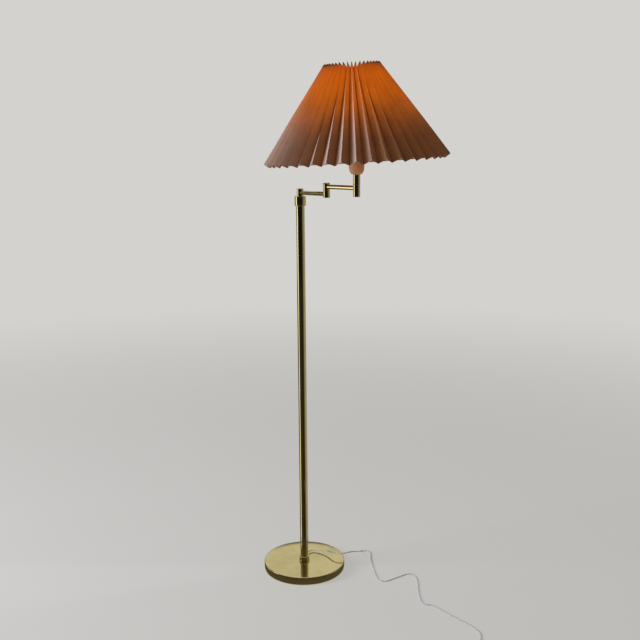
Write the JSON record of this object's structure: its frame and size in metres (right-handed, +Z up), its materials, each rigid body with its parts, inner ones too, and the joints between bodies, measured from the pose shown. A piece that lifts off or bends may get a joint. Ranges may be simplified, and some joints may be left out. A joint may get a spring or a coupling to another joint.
{
  "type": "bridge floor lamp",
  "caption": "Brass floor lamp with a weighted round base, slim column, jointed swing arms and a flared pleated shade, with its cord and plug.",
  "frame": {"origin": "centre of the base's underside, on the floor", "axes": "+Z up along the column, +X towards the side that the arms reach in the picture, -Y towards the viewer of the picture"},
  "size_m": [0.6112, 0.704, 1.5402],
  "materials": {
    "brass": "polished, lightly worn",
    "felt": "felt",
    "iron": "rough",
    "steel": "zinc plated",
    "clear_flex": "clear soft plastic over tinned wires",
    "wire": "smooth",
    "white_plastic": "satin",
    "holder_plastic": "satin, cream",
    "dark_plastic": "satin",
    "porcelain": "glazed",
    "bulb_glass": "frosted",
    "shade_cloth": "pleated cloth on a stiff lining",
    "frame_wire": "white enamel"
  },
  "bodies": {
    "stand": {"felt_pad": "felt", "base_cover": "brass", "base_weight": "iron", "clamp_washer": "steel", "clamp_nut": "steel", "clamp_stud": "steel", "column_foot": "brass", "column_tube": "brass", "base_collar": "brass", "cord_relief": "dark_plastic", "top_collar": "brass", "column_wire": "wire", "mains_cord": "clear_flex", "cord_coil": "clear_flex", "cord_tie": "dark_plastic", "mains_plug": "white_plastic", "plug_pins": "steel"},
    "inner_arm": {"shoulder_hub": "brass", "shoulder_plug": "brass", "shoulder_nipple": "steel", "shoulder_lock_nut": "steel", "inner_arm_tube": "brass", "elbow_socket": "brass", "elbow_plug": "brass", "inner_arm_wire": "wire"},
    "outer_arm": {"elbow_hub": "brass", "elbow_nipple": "steel", "elbow_lock_nut": "steel", "elbow_cap": "brass", "outer_arm_tube": "brass", "end_hub": "brass", "end_plug": "brass", "outer_arm_wire": "wire"},
    "lamp_head": {"head_stem": "brass", "head_nipple": "steel", "head_lock_nut": "steel", "holder_nipple": "steel", "holder_cap": "holder_plastic", "holder_body": "holder_plastic", "holder_insert": "porcelain", "screw_shell": "brass", "centre_contact": "brass", "lower_ring_nut": "holder_plastic", "upper_ring_nut": "holder_plastic", "head_wire": "wire", "bulb_glass": "bulb_glass", "bulb_cap": "steel", "shade_pleats": "shade_cloth", "shade_bottom_ring": "frame_wire", "shade_top_ring": "frame_wire", "shade_carrier": "frame_wire"},
    "switch": {"switch_shaft": "dark_plastic", "switch_key": "dark_plastic"}
  },
  "joints": [
    {"name": "shoulder_swing", "type": "hinge", "parent": "stand", "child": "inner_arm", "pos_m": [0, 0, 1.174], "axis": [0, 0, 1], "range_deg": [-170, 170]},
    {"name": "elbow_swing", "type": "hinge", "parent": "inner_arm", "child": "outer_arm", "pos_m": [0.0751, -0.087, 1.1952], "axis": [0, 0, 1], "range_deg": [-160, 155]},
    {"name": "head_swivel", "type": "hinge", "parent": "outer_arm", "child": "lamp_head", "pos_m": [0.1556, -0.169, 1.215], "axis": [0, 0, 1], "range_deg": [-170, 170]},
    {"name": "switch_turn", "type": "hinge", "parent": "lamp_head", "child": "switch", "pos_m": [0.1556, -0.1468, 1.257], "axis": [0, 1, 0], "range_deg": [0, 90]}
  ]
}
